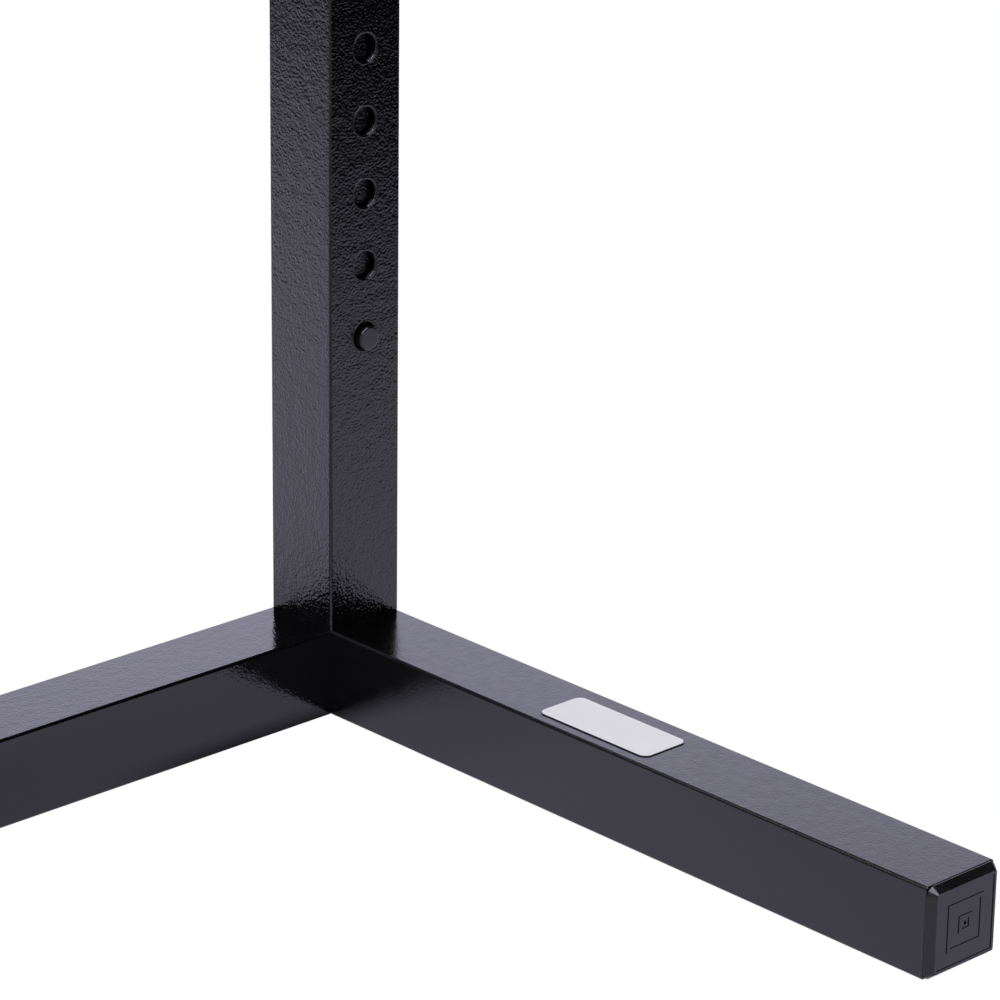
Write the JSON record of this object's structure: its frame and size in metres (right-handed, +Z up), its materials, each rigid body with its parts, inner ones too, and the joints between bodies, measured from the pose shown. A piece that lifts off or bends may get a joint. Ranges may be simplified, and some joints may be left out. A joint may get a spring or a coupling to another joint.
{
  "type": "adjustable tabletop food guard",
  "caption": "Tabletop food guard: a tilted clear shield on telescoping square-tube posts with snap-button height stops, on a cross tube and rearward feet.",
  "frame": {"origin": "on the table, under the middle of the cross tube and on the centre plane of the two posts", "axes": "+X along the guard's width, so left is -X as the customer sees it; +Y towards the server, the way the feet point; +Z up"},
  "size_m": [1.2284, 0.4529, 0.6394],
  "materials": {
    "powder_coated_steel": "gloss",
    "black_plastic": "satin",
    "black_fasteners": "satin",
    "zinc_steel": "satin",
    "spring_steel": "satin",
    "black_button": "gloss",
    "brushed_aluminium": "satin",
    "clear_acrylic": "gloss",
    "bright_screws": "gloss",
    "rubber": "matte"
  },
  "bodies": {
    "base": {"left_foot": "powder_coated_steel", "left_foot_front_plug": "black_plastic", "left_foot_rear_plug": "black_plastic", "left_cross_tube_bolts": "black_fasteners", "left_cross_tube_washers": "black_fasteners", "left_crush_sleeves": "zinc_steel", "left_cross_tube_insert": "zinc_steel", "left_outer_post": "powder_coated_steel", "left_post_bolts": "zinc_steel", "left_post_washers": "zinc_steel", "left_post_insert": "zinc_steel", "left_post_collar": "black_plastic", "right_foot": "powder_coated_steel", "right_foot_front_plug": "black_plastic", "right_foot_rear_plug": "black_plastic", "right_cross_tube_bolts": "black_fasteners", "right_cross_tube_washers": "black_fasteners", "right_crush_sleeves": "zinc_steel", "right_cross_tube_insert": "zinc_steel", "right_outer_post": "powder_coated_steel", "right_post_bolts": "zinc_steel", "right_post_washers": "zinc_steel", "right_post_insert": "zinc_steel", "right_post_collar": "black_plastic", "cross_tube": "powder_coated_steel", "label_plate": "brushed_aluminium"},
    "upper_frame": {"left_inner_post": "powder_coated_steel", "left_inner_glide": "black_plastic", "left_shield_arm": "powder_coated_steel", "left_arm_plug": "black_plastic", "left_rail_bolts": "black_fasteners", "left_rail_washers": "black_fasteners", "left_rail_insert": "zinc_steel", "left_snap_spring": "spring_steel", "right_inner_post": "powder_coated_steel", "right_inner_glide": "black_plastic", "right_shield_arm": "powder_coated_steel", "right_arm_plug": "black_plastic", "right_rail_bolts": "black_fasteners", "right_rail_washers": "black_fasteners", "right_rail_insert": "zinc_steel", "right_snap_spring": "spring_steel", "cross_rail": "powder_coated_steel", "shield": "clear_acrylic", "shield_screws": "bright_screws", "shield_washers": "bright_screws", "shield_spacers": "rubber", "shield_cap_nuts": "bright_screws"},
    "left_button": {"left_snap_button": "black_button"},
    "right_button": {"right_snap_button": "black_button"}
  },
  "joints": [
    {"name": "height_slide", "type": "slide", "parent": "base", "child": "upper_frame", "axis": [0, 0, 1], "range_m": [0, 0.1836]},
    {"name": "left_button_press", "type": "slide", "parent": "upper_frame", "child": "left_button", "axis": [0, -1, 0], "range_m": [0, 0.0051], "stiffness_N_per_m": 3000, "springref_m": -0.001, "deforming": ["left_snap_spring"]},
    {"name": "right_button_press", "type": "slide", "parent": "upper_frame", "child": "right_button", "axis": [0, -1, 0], "range_m": [0, 0.0051], "stiffness_N_per_m": 3000, "springref_m": -0.001, "deforming": ["right_snap_spring"]}
  ]
}
